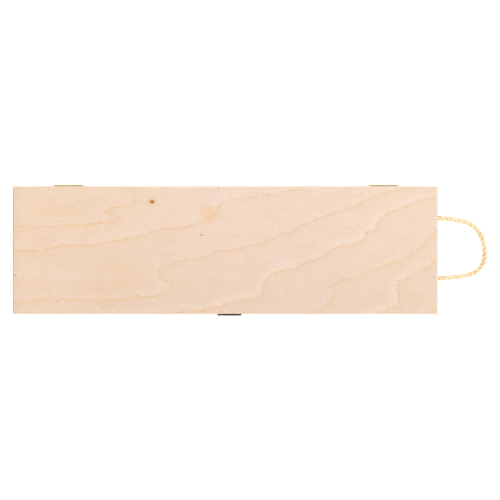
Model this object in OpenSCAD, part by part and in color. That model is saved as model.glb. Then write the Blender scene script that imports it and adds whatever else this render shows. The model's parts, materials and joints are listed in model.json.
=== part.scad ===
// Wooden box for one bottle: finger-jointed walls between two glued panels, a lid on two nailed
// hinges, a snap clasp in front and a rope handle knotted through one end wall.
// Millimetres. +X is the rope end, -Y the clasp side, +Z up. The origin is the middle of the
// underside of the base.

/* [Box] */
// Length of the closed box, end to end
box_length = 350; // [300:1:420]
// Width of the closed box, front to back
box_width = 105; // [94:1:140]
// Height of the closed box
box_height = 95; // [88:1:130]
// Height of the lid, its panel included
lid_height = 25; // [22:1:32]
// Thickness of the four walls
wall = 8; // [6:0.5:10]
// Thickness of the top and bottom panels
panel = 4; // [3:0.5:6]
// Seam left by the saw between the lid and the base
seam = 0.3; // [0.2:0.1:0.8]
// Radius that the outer edges are sanded to
edge_round = 1; // [0.5:0.25:2]
// Fingers at each corner of the base
base_fingers = 9; // [5:2:11]
// Fingers at each corner of the lid
lid_fingers = 3; // [3:2:5]

/* [Hinges] */
// Width of a hinge, along the back
hinge_width = 24.5; // [20:0.5:30]
// Distance from each end of the box to the middle of the nearer hinge
hinge_inset = 43; // [25:1:80]
// Height of one hinge leaf above or below the pin
leaf_height = 9; // [8:0.5:11]
// Thickness of the sheet of a hinge leaf
leaf_sheet = 0.5; // [0.4:0.05:0.6]
// Outer diameter of the rolled hinge knuckles
hinge_barrel = 2; // [2:0.1:2.6]
// Diameter of the hinge pins
hinge_pin = 1; // [0.8:0.05:1.1]
// Knuckles in one hinge, shared by its two leaves
knuckles = 5; // [3:2:7]
// Distance of a hinge nail from the side of its leaf
hinge_nail_inset = 4.5; // [3.5:0.5:6]

/* [Clasp] */
// Width of the clasp's plates and of its pin
clasp_width = 20; // [19:0.5:24]
// Distance of the clasp from the middle of the front, towards the rope
clasp_offset = 3; // [-10:1:10]
// Height of the clasp's pin above the seam
clasp_rise = 3; // [2.5:0.5:4]
// Height of the lid plate above the pin
clasp_plate_height = 11; // [9:0.5:13]
// Height of the catch plate on the base
catch_height = 12; // [11:0.5:14]
// Gap between the seam and the top of the catch plate
catch_drop = 1; // [0.5:0.25:2]
// Width of the swinging flap
flap_width = 12.4; // [10:0.1:12.6]
// Distance from the pin to the rolled lip of the flap
flap_length = 12; // [11:0.25:13]
// Thickness of the clasp's sheet
clasp_sheet = 0.6; // [0.5:0.05:0.7]
// Outer diameter of the clasp's knuckles
clasp_barrel = 2.1; // [2:0.05:2.5]
// Diameter of the clasp's pin
clasp_pin_width = 0.9; // [0.8:0.05:1]
// Radius of the rolled lip at the end of the flap
lip_radius = 0.9; // [0.8:0.05:1]
// Radius of the raised ridge that the lip snaps under
ridge_radius = 0.75; // [0.65:0.05:0.8]
// Length of that ridge
ridge_length = 10; // [6:0.5:11]
// Distance of a clasp nail from the side of its plate
clasp_nail_inset = 1.9; // [1.6:0.1:2.1]

/* [Nails] */
// Diameter of a nail's head
nail_head = 2.8; // [2.2:0.1:3]
// Height of a nail's domed head
nail_head_height = 0.45; // [0.3:0.05:0.5]
// Diameter of a nail's shank
nail_shank = 1.2; // [1:0.1:1.4]
// Wood left between a nail's point and the inside of the wall
nail_cover = 2; // [1.5:0.25:3]

/* [Rope handle] */
// Diameter of the rope
rope_width = 4; // [3.5:0.1:4.5]
// Diameter of the holes for the rope
rope_hole = 5; // [4.8:0.1:6]
// Distance between the two rope holes
rope_spacing = 52; // [44:1:60]
// Distance of the pair of rope holes from the middle of the end, towards the back
rope_offset = 1.5; // [-5:0.5:5]
// Height of the rope holes above the table
rope_height = 36; // [26:1:44]
// Diameter of the knots inside the box
knot_width = 12; // [9:0.5:14]
// Length of rope left loose behind each knot
knot_tail = 6; // [3:0.5:10]

/* [Hidden] */
$fn = 48;

// Sides of a box, and the names used for them
BACK = 1;
FRONT = -1;
RIGHT = 1;
LEFT = -1;
LID = 1;
BASE = -1;

// Radial clearance of the pins and nails, and the gaps between pieces that pass or meet
pin_fit = 0.05;
nail_fit = 0.05;
knuckle_gap = 0.2;
barrel_gap = 0.15;
clasp_gap = 0.2;
ridge_gap = 0.08;
knot_gap = 0.1;
// How far a cutting tool runs past what it cuts
overshoot = 1;
// Corner radius of the hinge leaves and the clasp's plates
plate_corner = 1.2;
// Length of a nail's point, and the width that it ends in
nail_point = 1.2;
nail_tip = 0.3;
// Share of a knot's radius that the wall presses flat
knot_flat = 0.3;
// Sides of the swept rope
rope_sides = 10;

// Walls of the base run from the bottom panel to the seam, those of the lid from there on
seam_height = box_height - lid_height;
base_wall_height = seam_height - seam / 2 - panel;
lid_wall_bottom = seam_height + seam / 2;
lid_wall_height = box_height - panel - lid_wall_bottom;

// The hinge's axis stands off the back of the box by a little more than its knuckle
knuckle_radius = hinge_barrel / 2;
hinge_stand = barrel_gap + knuckle_radius;
knuckle_length = (hinge_width - (knuckles - 1) * knuckle_gap) / knuckles;
leaf_start = knuckle_radius + knuckle_gap;
hinge_nail_x = hinge_width / 2 - hinge_nail_inset;
hinge_nail_z = (leaf_start + leaf_height) / 2;

// The clasp's axis stands off the front of the box in the same way
clasp_knuckle = clasp_barrel / 2;
clasp_stand = clasp_gap + clasp_knuckle;
clasp_z = seam_height + clasp_rise;
clasp_end_knuckle = (clasp_width - flap_width) / 2 - knuckle_gap;
clasp_plate_start = clasp_knuckle + knuckle_gap;
clasp_nail_x = clasp_width / 2 - clasp_nail_inset;
clasp_nail_z = (clasp_plate_start + clasp_plate_height) / 2;
flap_face = clasp_stand + clasp_knuckle;
catch_top = -clasp_rise - catch_drop;
catch_nail_z = catch_top - catch_height / 2;
// The ridge lies on the catch plate, just above the lip
lip_out = flap_face - clasp_sheet / 2;
lip_reach = lip_radius + ridge_radius + ridge_gap;
ridge_z = -flap_length + sqrt(pow(lip_reach, 2) - pow(lip_out - clasp_sheet, 2));

// A nail goes through its plate and into the wall
leaf_nail_length = leaf_sheet + wall - nail_cover;
clasp_nail_length = clasp_sheet + wall - nail_cover;

// The knots sit against the inside of the right end
rope_back_y = rope_offset + rope_spacing / 2;
rope_front_y = rope_offset - rope_spacing / 2;
knot_radius = knot_width / 2;
knot_seat = (1 - knot_flat) * knot_radius;

// Way of the rope from the back hole to the front one, as
// [distance out from the end wall, Y, height above the table]
ROPE_ROUTE = [
    [6, 27.5, 36], [13, 27, 33.7], [19.5, 26.4, 29.5], [25, 25.6, 24.5], [30, 24.8, 18.8],
    [34.5, 24, 13.3], [39, 22.5, 8.3], [43.5, 19.6, 4.7], [47.5, 14.8, 2.9], [50.4, 8.6, 2.2],
    [52, 2, 2.2], [52.3, -4.5, 2.2], [51, -11, 2.3], [47.4, -16.7, 3.1], [42.5, -20.1, 5.4],
    [37.5, -21.7, 9.8], [33, -22.4, 15.2], [28.5, -23.1, 20.7], [24, -23.5, 25.5],
    [18.5, -23.7, 30.2], [12.5, -24, 34], [6, -24.5, 36]
];

WOOD = [0.93, 0.82, 0.69];
PANEL_WOOD = [0.945, 0.84, 0.75];
BRIGHT_BRASS = [0.84, 0.74, 0.52];
AGED_BRASS = [0.42, 0.34, 0.14];
ROPE = [0.98, 0.89, 0.74];

// ---- Wood ----

module rounded_rect(length, width, radius) {
    square([length - 2 * radius, width], center = true);
    square([length, width - 2 * radius], center = true);
    for (x = [-1, 1], y = [-1, 1])
        translate([x * (length / 2 - radius), y * (width / 2 - radius)])
            circle(r = radius);
}

// The closed box as one block with every outer edge sanded round
module sanded_block() {
    intersection() {
        linear_extrude(box_height)
            rounded_rect(box_length, box_width, edge_round);
        translate([0, 0, box_height / 2])
            rotate([90, 0, 0])
                linear_extrude(box_width, center = true)
                    rounded_rect(box_length, box_height, edge_round);
        translate([0, 0, box_height / 2])
            rotate([90, 0, 90])
                linear_extrude(box_length, center = true)
                    rounded_rect(box_width, box_height, edge_round);
    }
}

module glued_panel(bottom) {
    color(PANEL_WOOD)
        intersection() {
            sanded_block();
            translate([-box_length, -box_width, bottom])
                cube([2 * box_length, 2 * box_width, panel]);
        }
}

// A board along X that stands on Z = 0, with a finger at each end for every second share of its
// height, counted from the share called first
module fingered_board(length, height, fingers, first) {
    share = height / fingers;
    translate([wall - length / 2, -wall / 2, 0])
        cube([length - 2 * wall, wall, height]);
    for (i = [first : 2 : fingers - 1])
        translate([-length / 2, -wall / 2, i * share])
            cube([length, wall, share]);
}

// The corners of the four walls are sanded round after they are glued
module sanded_walls() {
    intersection() {
        children();
        linear_extrude(box_height)
            rounded_rect(box_length, box_width, edge_round);
    }
}

module long_wall(side, bottom, height, fingers) {
    sanded_walls()
        translate([0, side * (box_width - wall) / 2, bottom])
            fingered_board(box_length, height, fingers, 0);
}

module end_wall(side, bottom, height, fingers) {
    sanded_walls()
        translate([side * (box_length - wall) / 2, 0, bottom])
            rotate([0, 0, 90])
                fingered_board(box_width, height, fingers, 1);
}

module base_panel() {
    glued_panel(0);
}

module base_front_wall() {
    color(WOOD)
        difference() {
            long_wall(FRONT, panel, base_wall_height, base_fingers);
            at_clasp() catch_nail_places() nail_hole(clasp_nail_length - clasp_sheet);
        }
}

module base_back_wall() {
    color(WOOD)
        difference() {
            long_wall(BACK, panel, base_wall_height, base_fingers);
            for (side = [LEFT, RIGHT])
                at_hinge(side) hinge_nail_places(BASE) nail_hole(leaf_nail_length - leaf_sheet);
        }
}

module base_left_end() {
    color(WOOD)
        end_wall(LEFT, panel, base_wall_height, base_fingers);
}

module base_right_end() {
    color(WOOD)
        difference() {
            end_wall(RIGHT, panel, base_wall_height, base_fingers);
            for (y = [rope_back_y, rope_front_y])
                translate([box_length / 2 - wall - overshoot, y, rope_height])
                    rotate([0, 90, 0])
                        cylinder(d = rope_hole, h = wall + 2 * overshoot);
        }
}

module lid_panel() {
    glued_panel(box_height - panel);
}

module lid_front_rail() {
    color(WOOD)
        difference() {
            long_wall(FRONT, lid_wall_bottom, lid_wall_height, lid_fingers);
            at_clasp() lid_plate_nail_places() nail_hole(clasp_nail_length - clasp_sheet);
        }
}

module lid_back_rail() {
    color(WOOD)
        difference() {
            long_wall(BACK, lid_wall_bottom, lid_wall_height, lid_fingers);
            for (side = [LEFT, RIGHT])
                at_hinge(side) hinge_nail_places(LID) nail_hole(leaf_nail_length - leaf_sheet);
        }
}

module lid_left_end() {
    color(WOOD)
        end_wall(LEFT, lid_wall_bottom, lid_wall_height, lid_fingers);
}

module lid_right_end() {
    color(WOOD)
        end_wall(RIGHT, lid_wall_bottom, lid_wall_height, lid_fingers);
}

// ---- Nails ----
// Metalwork is drawn on the XZ plane, as on a wall whose face is Y = 0, with +Y outwards

// One nail whose head rests on Y = 0
module nail(length) {
    head_radius = nail_head / 2;
    dome = (pow(head_radius, 2) + pow(nail_head_height, 2)) / (2 * nail_head_height);
    rotate([-90, 0, 0])
        rotate_extrude() {
            intersection() {
                translate([0, nail_head_height - dome])
                    circle(r = dome);
                square([nail_head, nail_head]);
            }
            translate([0, nail_point - length])
                square([nail_shank / 2, length - nail_point]);
            polygon([
                [0, -length], [nail_tip / 2, -length],
                [nail_shank / 2, nail_point - length], [0, nail_point - length]
            ]);
        }
}

// The hole that a nail makes in a wall, from the face inwards
module nail_hole(depth) {
    translate([0, overshoot, 0])
        rotate([90, 0, 0])
            cylinder(d = nail_shank + 2 * nail_fit, h = depth + nail_fit + overshoot);
}

// The hole for a nail through a metal plate
module plate_hole(sheet) {
    translate([0, -overshoot, 0])
        rotate([-90, 0, 0])
            cylinder(d = nail_shank + 2 * nail_fit, h = sheet + 2 * overshoot);
}

// ---- Hinges ----

// Puts a hinge on the back of the box, with the seam at Z = 0
module at_hinge(side) {
    translate([side * (box_length / 2 - hinge_inset), box_width / 2, seam_height])
        children();
}

module hinge_nail_places(half_of_hinge) {
    for (x = [-hinge_nail_x, hinge_nail_x])
        translate([x, 0, half_of_hinge * hinge_nail_z])
            children();
}

// A leaf with its rolled knuckles, drawn as the lid's one: its flat stands above the pin
module upright_leaf(first) {
    flat_height = leaf_height - leaf_start;
    difference() {
        union() {
            translate([0, leaf_sheet, leaf_start + flat_height / 2])
                rotate([90, 0, 0])
                    linear_extrude(leaf_sheet)
                        plate_outline(hinge_width, flat_height);
            for (i = [first : 2 : knuckles - 1])
                translate([i * (knuckle_length + knuckle_gap) - hinge_width / 2, 0, 0]) {
                    translate([0, hinge_stand, 0])
                        rotate([0, 90, 0])
                            cylinder(r = knuckle_radius, h = knuckle_length);
                    cube([knuckle_length, leaf_sheet, leaf_height / 2]);
                }
        }
        translate([0, hinge_stand, 0])
            rotate([0, 90, 0])
                cylinder(d = hinge_pin + 2 * pin_fit, h = hinge_width + overshoot, center = true);
        hinge_nail_places(LID) plate_hole(leaf_sheet);
    }
}

// A plate whose two upper corners are rounded, centred on the origin
module plate_outline(width, height) {
    rounded_rect(width, height, plate_corner);
    translate([0, -height / 4])
        square([width, height / 2], center = true);
}

module hinge_lid_leaf(side) {
    color(BRIGHT_BRASS)
        at_hinge(side) upright_leaf(1);
}

module hinge_base_leaf(side) {
    color(BRIGHT_BRASS)
        at_hinge(side) mirror([0, 0, 1]) upright_leaf(0);
}

module hinge_pin(side) {
    color(BRIGHT_BRASS)
        at_hinge(side)
            translate([0, hinge_stand, 0])
                rotate([0, 90, 0])
                    cylinder(d = hinge_pin, h = hinge_width, center = true);
}

module hinge_nails(side, half_of_hinge) {
    color(BRIGHT_BRASS)
        at_hinge(side) hinge_nail_places(half_of_hinge)
            translate([0, leaf_sheet, 0])
                nail(leaf_nail_length);
}

module left_hinge_base_leaf() { hinge_base_leaf(LEFT); }
module left_hinge_lid_leaf() { hinge_lid_leaf(LEFT); }
module left_hinge_pin() { hinge_pin(LEFT); }
module left_hinge_base_nails() { hinge_nails(LEFT, BASE); }
module left_hinge_lid_nails() { hinge_nails(LEFT, LID); }
module right_hinge_base_leaf() { hinge_base_leaf(RIGHT); }
module right_hinge_lid_leaf() { hinge_lid_leaf(RIGHT); }
module right_hinge_pin() { hinge_pin(RIGHT); }
module right_hinge_base_nails() { hinge_nails(RIGHT, BASE); }
module right_hinge_lid_nails() { hinge_nails(RIGHT, LID); }

// ---- Clasp ----

// Puts the clasp on the front of the box, with its pin at Z = 0
module at_clasp() {
    translate([clasp_offset, -box_width / 2, clasp_z])
        rotate([0, 0, 180])
            children();
}

module lid_plate_nail_places() {
    for (x = [-clasp_nail_x, clasp_nail_x])
        translate([x, 0, clasp_nail_z])
            children();
}

module catch_nail_places() {
    for (x = [-clasp_nail_x, clasp_nail_x])
        translate([x, 0, catch_nail_z])
            children();
}

module clasp_pin_hole() {
    translate([0, clasp_stand, 0])
        rotate([0, 90, 0])
            cylinder(d = clasp_pin_width + 2 * pin_fit, h = clasp_width + overshoot, center = true);
}

// The plate on the lid, with a knuckle at each end of the pin
module clasp_lid_plate() {
    flat_height = clasp_plate_height - clasp_plate_start;
    color(AGED_BRASS)
        at_clasp()
            difference() {
                union() {
                    translate([0, clasp_sheet, clasp_plate_start + flat_height / 2])
                        rotate([90, 0, 0])
                            linear_extrude(clasp_sheet)
                                plate_outline(clasp_width, flat_height);
                    for (x = [-clasp_width / 2, clasp_width / 2 - clasp_end_knuckle])
                        translate([x, 0, 0]) {
                            translate([0, clasp_stand, 0])
                                rotate([0, 90, 0])
                                    cylinder(r = clasp_knuckle, h = clasp_end_knuckle);
                            cube([clasp_end_knuckle, clasp_sheet, clasp_plate_height / 2]);
                        }
                }
                clasp_pin_hole();
                lid_plate_nail_places() plate_hole(clasp_sheet);
            }
}

// The flap hangs from the pin and ends in a rolled lip
module clasp_flap() {
    color(AGED_BRASS)
        at_clasp()
            difference() {
                union() {
                    translate([0, clasp_stand, 0])
                        rotate([0, 90, 0])
                            cylinder(r = clasp_knuckle, h = flap_width, center = true);
                    translate([-flap_width / 2, flap_face - clasp_sheet, -flap_length])
                        cube([flap_width, clasp_sheet, flap_length]);
                    translate([0, lip_out, -flap_length])
                        rotate([0, 90, 0])
                            cylinder(r = lip_radius, h = flap_width, center = true);
                }
                clasp_pin_hole();
            }
}

module clasp_pin() {
    color(AGED_BRASS)
        at_clasp()
            translate([0, clasp_stand, 0])
                rotate([0, 90, 0])
                    cylinder(d = clasp_pin_width, h = clasp_width, center = true);
}

// The plate on the base, with the ridge that the lip snaps under
module clasp_catch_plate() {
    color(AGED_BRASS)
        at_clasp()
            difference() {
                union() {
                    translate([0, clasp_sheet, catch_top - catch_height / 2])
                        rotate([90, 0, 0])
                            linear_extrude(clasp_sheet)
                                rounded_rect(clasp_width, catch_height, plate_corner);
                    intersection() {
                        translate([0, clasp_sheet, ridge_z])
                            rotate([0, 90, 0])
                                cylinder(r = ridge_radius, h = ridge_length, center = true);
                        translate([-ridge_length, 0, ridge_z - clasp_barrel])
                            cube([2 * ridge_length, 2 * clasp_barrel, 2 * clasp_barrel]);
                    }
                }
                catch_nail_places() plate_hole(clasp_sheet);
            }
}

module clasp_lid_nails() {
    color(AGED_BRASS)
        at_clasp() lid_plate_nail_places()
            translate([0, clasp_sheet, 0])
                nail(clasp_nail_length);
}

module clasp_catch_nails() {
    color(AGED_BRASS)
        at_clasp() catch_nail_places()
            translate([0, clasp_sheet, 0])
                nail(clasp_nail_length);
}

// ---- Rope handle ----

function unit(v) = v / norm(v);

// The whole way, from the knot at the back hole to the knot at the front one
rope_way = concat(
    [[-wall, rope_back_y, rope_height], [0, rope_back_y, rope_height]],
    ROPE_ROUTE,
    [[0, rope_front_y, rope_height], [-wall, rope_front_y, rope_height]]
);

// Direction of the way at point i, from its neighbours
function heading(way, i) =
    unit(way[min(i + 1, len(way) - 1)] - way[max(i - 1, 0)]);

// Ring of points round point i of the way, square to its heading
function ring(way, i, radius, sides) =
    let (
        ahead = heading(way, i),
        aside = unit(cross(ahead, [0, 0, 1])),
        above = cross(aside, ahead)
    )
    [for (k = [0 : sides - 1])
        way[i] + radius * (cos(360 * k / sides) * aside + sin(360 * k / sides) * above)];

module swept_tube(way, radius, sides) {
    rings = len(way);
    points = [for (i = [0 : rings - 1]) each ring(way, i, radius, sides)];
    skin = [for (i = [0 : rings - 2], k = [0 : sides - 1])
        let (
            a = i * sides + k,
            b = i * sides + (k + 1) % sides
        )
        each [[a, a + sides, b], [b, a + sides, b + sides]]];
    start = [[for (k = [0 : sides - 1]) k]];
    finish = [[for (k = [sides - 1 : -1 : 0]) (rings - 1) * sides + k]];
    polyhedron(points = points, faces = concat(skin, start, finish));
}

module rope_handle() {
    color(ROPE)
        translate([box_length / 2, 0, 0])
            swept_tube(rope_way, rope_width / 2, rope_sides);
}

// A knot, flat where it is pulled against the wall, with its loose end behind it
module rope_knot(y) {
    color(ROPE)
        translate([box_length / 2 - wall - knot_gap, y, rope_height])
            rotate([0, -90, 0])
                rotate_extrude()
                    intersection() {
                        union() {
                            translate([0, knot_seat])
                                circle(r = knot_radius);
                            square([rope_width / 2, knot_seat + knot_radius + knot_tail]);
                        }
                        square([knot_width, 2 * (knot_width + knot_tail)]);
                    }
}

module rope_knot_back() { rope_knot(rope_back_y); }
module rope_knot_front() { rope_knot(rope_front_y); }

base_panel();
base_front_wall();
base_back_wall();
base_left_end();
base_right_end();
lid_panel();
lid_front_rail();
lid_back_rail();
lid_left_end();
lid_right_end();
left_hinge_base_leaf();
left_hinge_lid_leaf();
left_hinge_pin();
left_hinge_base_nails();
left_hinge_lid_nails();
right_hinge_base_leaf();
right_hinge_lid_leaf();
right_hinge_pin();
right_hinge_base_nails();
right_hinge_lid_nails();
clasp_lid_plate();
clasp_lid_nails();
clasp_pin();
clasp_flap();
clasp_catch_plate();
clasp_catch_nails();
rope_handle();
rope_knot_back();
rope_knot_front();
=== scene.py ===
import json
import math

import bmesh
import bpy
import numpy as np
from mathutils import Matrix, Vector


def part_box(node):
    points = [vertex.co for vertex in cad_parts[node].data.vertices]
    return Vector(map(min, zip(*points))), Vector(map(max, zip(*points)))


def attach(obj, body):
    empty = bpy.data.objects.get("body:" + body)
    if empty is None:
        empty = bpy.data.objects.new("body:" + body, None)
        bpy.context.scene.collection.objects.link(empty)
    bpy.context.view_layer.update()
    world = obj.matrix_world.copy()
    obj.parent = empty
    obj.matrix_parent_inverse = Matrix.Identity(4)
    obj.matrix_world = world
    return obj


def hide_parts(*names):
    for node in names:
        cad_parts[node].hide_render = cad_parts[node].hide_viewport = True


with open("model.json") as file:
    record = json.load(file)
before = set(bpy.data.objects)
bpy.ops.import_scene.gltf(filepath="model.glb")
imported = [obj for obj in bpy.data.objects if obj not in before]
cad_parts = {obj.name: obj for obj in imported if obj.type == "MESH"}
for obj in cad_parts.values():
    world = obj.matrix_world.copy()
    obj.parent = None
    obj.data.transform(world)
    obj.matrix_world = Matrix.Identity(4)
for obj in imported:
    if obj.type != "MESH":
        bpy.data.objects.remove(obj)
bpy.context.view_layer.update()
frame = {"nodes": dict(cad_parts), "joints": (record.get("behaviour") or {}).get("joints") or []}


# ---- Camera ----
# The camera looks straight down at the middle of the closed lid with its rope, from far
# enough away that the sides of the box stay hidden under the lid.
CAMERA_ABOVE_LID = 1.3
VIEW_CENTRE = (0.0202, 0.0001)
VIEW_WIDTH_ON_LID = 0.41124
SENSOR_WIDTH = 36.0


def new_object(name, data, *materials):
    """An object at the origin that holds that mesh, camera or light."""
    for material in materials:
        data.materials.append(material)
    made = bpy.data.objects.new(name, data)
    bpy.context.scene.collection.objects.link(made)
    return made


camera = new_object("camera", bpy.data.cameras.new("camera"))
camera.data.sensor_width = SENSOR_WIDTH
camera.data.lens = SENSOR_WIDTH * CAMERA_ABOVE_LID / VIEW_WIDTH_ON_LID
camera.location = (*VIEW_CENTRE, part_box("lid_panel")[1].z + CAMERA_ABOVE_LID)
bpy.context.scene.camera = camera
bpy.context.scene.view_settings.view_transform = "Standard"


# ---- Floor and studio lights ----
# A white paper floor, a wide soft light overhead, a key light from the right and front,
# and a weaker one from the left and back.
FLOOR_SIZE = 12.0
FLOOR_WHITE = (0.93, 0.93, 0.93, 1.0)
FLOOR_GLOW = 0.12
FLOOR_SEEN = 0.42
SKY_WHITE = (1.0, 1.0, 1.0, 1.0)
SKY_STRENGTH = 0.585
SKY_SEEN = 0.95
# Place, size and power of each light, all aimed at the box
LIGHTS = {
    "overhead_light": ((0.1, 0.2, 2.6), 1.3, 14.0),
    "key_light": ((1.5, -0.9, 1.3), 1.0, 12.9),
    "fill_light": ((-1.5, 1.2, 1.1), 1.2, 7.0),
}


class Signal:
    """An output of a node, with which sums can be written as with a number."""

    def __init__(self, socket):
        self.socket = socket
        self.tree = socket.id_data

    def math(self, operation, other=0.0):
        return add_node(self.tree, "ShaderNodeMath", {0: self, 1: other}, operation=operation)

    def __add__(self, other):
        return self.math("ADD", other)

    def __sub__(self, other):
        return self.math("SUBTRACT", other)

    def __mul__(self, other):
        return self.math("MULTIPLY", other)

    def __abs__(self):
        return self.math("ABSOLUTE")

    def parts(self):
        """The X, Y and Z of a vector."""
        split = add_node(self.tree, "ShaderNodeSeparateXYZ", {0: self})
        return [Signal(output) for output in split.socket.node.outputs]


def set_inputs(node, inputs):
    """Sets each input of the node, by its name or its number, to a value or a signal."""
    for key, value in inputs.items():
        if isinstance(value, Signal):
            node.id_data.links.new(value.socket, node.inputs[key])
        else:
            node.inputs[key].default_value = value


def add_node(tree, kind, inputs=None, output=0, **settings):
    """The signal of one output of a new node of that kind, given its inputs and settings."""
    node = tree.nodes.new(kind)
    for name, value in settings.items():
        setattr(node, name, value)
    set_inputs(node, inputs or {})
    return Signal(node.outputs[output])


def new_material(name):
    """A material, its node tree and its Principled surface."""
    material = bpy.data.materials.new(name)
    material.use_nodes = True
    return material, material.node_tree, material.node_tree.nodes["Principled BSDF"]


def only_seen(tree, lighting, seen):
    """The first strength where it lights something, and the second where the camera looks."""
    looked_at = add_node(tree, "ShaderNodeLightPath", output="Is Camera Ray")
    return looked_at * (seen - lighting) + lighting


floor_material, tree, surface = new_material("white_paper")
set_inputs(surface, {
    "Base Color": FLOOR_WHITE, "Roughness": 0.9, "Specular IOR Level": 0.0,
    "Emission Color": FLOOR_WHITE, "Emission Strength": only_seen(tree, FLOOR_GLOW, FLOOR_SEEN),
})
floor_mesh = bpy.data.meshes.new("floor")
floor_corners = [(x * FLOOR_SIZE / 2, y * FLOOR_SIZE / 2, 0)
                 for x, y in ((-1, -1), (1, -1), (1, 1), (-1, 1))]
floor_mesh.from_pydata(floor_corners, [], [(0, 1, 2, 3)])
floor = new_object("floor", floor_mesh, floor_material)

world = bpy.data.worlds.new("studio")
bpy.context.scene.world = world
world.use_nodes = True
# The camera sees the sky as bright as the far floor, so that no horizon shows
set_inputs(world.node_tree.nodes["Background"], {
    "Color": SKY_WHITE, "Strength": only_seen(world.node_tree, SKY_STRENGTH, SKY_SEEN),
})

for name, (place, size, power) in LIGHTS.items():
    light = new_object(name, bpy.data.lights.new(name, "AREA"))
    light.data.shape = "DISK"
    light.data.size = size
    light.data.energy = power
    light.location = place
    light.rotation_euler = (-Vector(place)).to_track_quat("-Z", "Y").to_euler()


# ---- Rope handle ----
# A soft rope of three strands, each of five yarns, laid round each other right-handed. It
# passes through two holes in the right end and is knotted inside, and its bight hangs down
# and lies on the table.
WALL = 0.008
ROPE_HEIGHT = 0.036
ROPE_HOLES_Y = (0.0275, -0.0245)
ROPE_LAY = 0.0142
ROPE_STEP = 0.0005
# Steps of a curve between two of its given points, before it is divided evenly
SPAN_STEPS = 16
STRANDS = 3
STRAND_RADIUS = 0.001
STRAND_OFFSET = 0.0011
STRAND_GIRTH_MM = 6.0
STRAND_SIDES = 24
# The first and the last point of the ring round a strand lie next to the rope's heart
RING_ANGLES = np.linspace(-math.pi, math.pi, STRAND_SIDES, endpoint=False)
YARNS = 5
YARN_RELIEF = 0.055
YARN_LAY = 0.011
YARN_SLANT = math.radians(-32)
# Way of the rope from the back hole to the front one, as
# (distance out from the end wall, Y, height above the table)
ROPE_ROUTE = [
    (0.006, 0.0275, 0.036), (0.013, 0.027, 0.0337), (0.0195, 0.0264, 0.0295),
    (0.025, 0.0256, 0.0245), (0.03, 0.0248, 0.0188), (0.0345, 0.024, 0.0133),
    (0.039, 0.0225, 0.0083), (0.0435, 0.0196, 0.0047), (0.0475, 0.0148, 0.0029),
    (0.0504, 0.0086, 0.0022), (0.052, 0.002, 0.0022), (0.0523, -0.0045, 0.0022),
    (0.051, -0.011, 0.0023), (0.0474, -0.0167, 0.0031), (0.0425, -0.0201, 0.0054),
    (0.0375, -0.0217, 0.0098), (0.033, -0.0224, 0.0152), (0.0285, -0.0231, 0.0207),
    (0.024, -0.0235, 0.0255), (0.0185, -0.0237, 0.0302), (0.0125, -0.024, 0.034),
    (0.006, -0.0245, 0.036),
]


def distance_along(way):
    """How far along the way each of its points lies."""
    return np.concatenate([[0], np.cumsum(np.linalg.norm(np.diff(way, axis=0), axis=1))])


def smooth_way(points, step):
    """Points a step apart along one smooth curve through the given points."""
    given = np.array(points, float)
    given = np.vstack([2 * given[0] - given[1], given, 2 * given[-1] - given[-2]])
    t = np.linspace(0, 1, SPAN_STEPS, endpoint=False)[:, None]
    spans = []
    for a, b, c, d in zip(given, given[1:], given[2:], given[3:]):
        bend = (2 * a - 5 * b + 4 * c - d) * t**2 + (3 * b - a - 3 * c + d) * t**3
        spans.append(b + ((c - a) * t + bend) / 2)
    curve = np.vstack([*spans, given[-2:-1]])
    along = distance_along(curve)
    even = np.linspace(0, along[-1], max(2, round(along[-1] / step) + 1))
    return np.stack([np.interp(even, along, column) for column in curve.T], axis=1)


def unit(vectors):
    return vectors / np.linalg.norm(vectors, axis=-1, keepdims=True)


def untwisted_sides(way):
    """Two directions square to the way at each point, which turn as little as they can."""
    ahead = unit(np.gradient(way, axis=0))
    side = np.zeros_like(way)
    side[0] = np.cross(ahead[0], (0.0, 0.0, 1.0))
    for i in range(1, len(way)):
        side[i] = side[i - 1] - ahead[i] * np.dot(side[i - 1], ahead[i])
        side[i] /= np.linalg.norm(side[i])
    return unit(side), np.cross(ahead, unit(side))


def strand_rings(way, turn, size, flare):
    """Rings of points round one strand of a rope that follows the way."""
    side, above = untwisted_sides(way)
    along = distance_along(way)[:, None]
    angle = 2 * math.pi * along / ROPE_LAY + turn
    outward = np.cos(angle) * side + np.sin(angle) * above
    centre = way + outward * (STRAND_OFFSET * size * flare)[:, None]
    ahead = unit(np.gradient(centre, axis=0))
    outward = unit(outward - ahead * np.sum(outward * ahead, axis=1, keepdims=True))
    across = np.cross(ahead, outward)
    yarn_angle = YARNS * (RING_ANGLES - 2 * math.pi * along / YARN_LAY)
    radius = STRAND_RADIUS * size[:, None] * (1 + YARN_RELIEF * np.cos(yarn_angle))
    return centre[:, None, :] + radius[..., None] * (
        np.cos(RING_ANGLES)[:, None] * outward[:, None, :]
        + np.sin(RING_ANGLES)[:, None] * across[:, None, :]
    )


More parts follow.
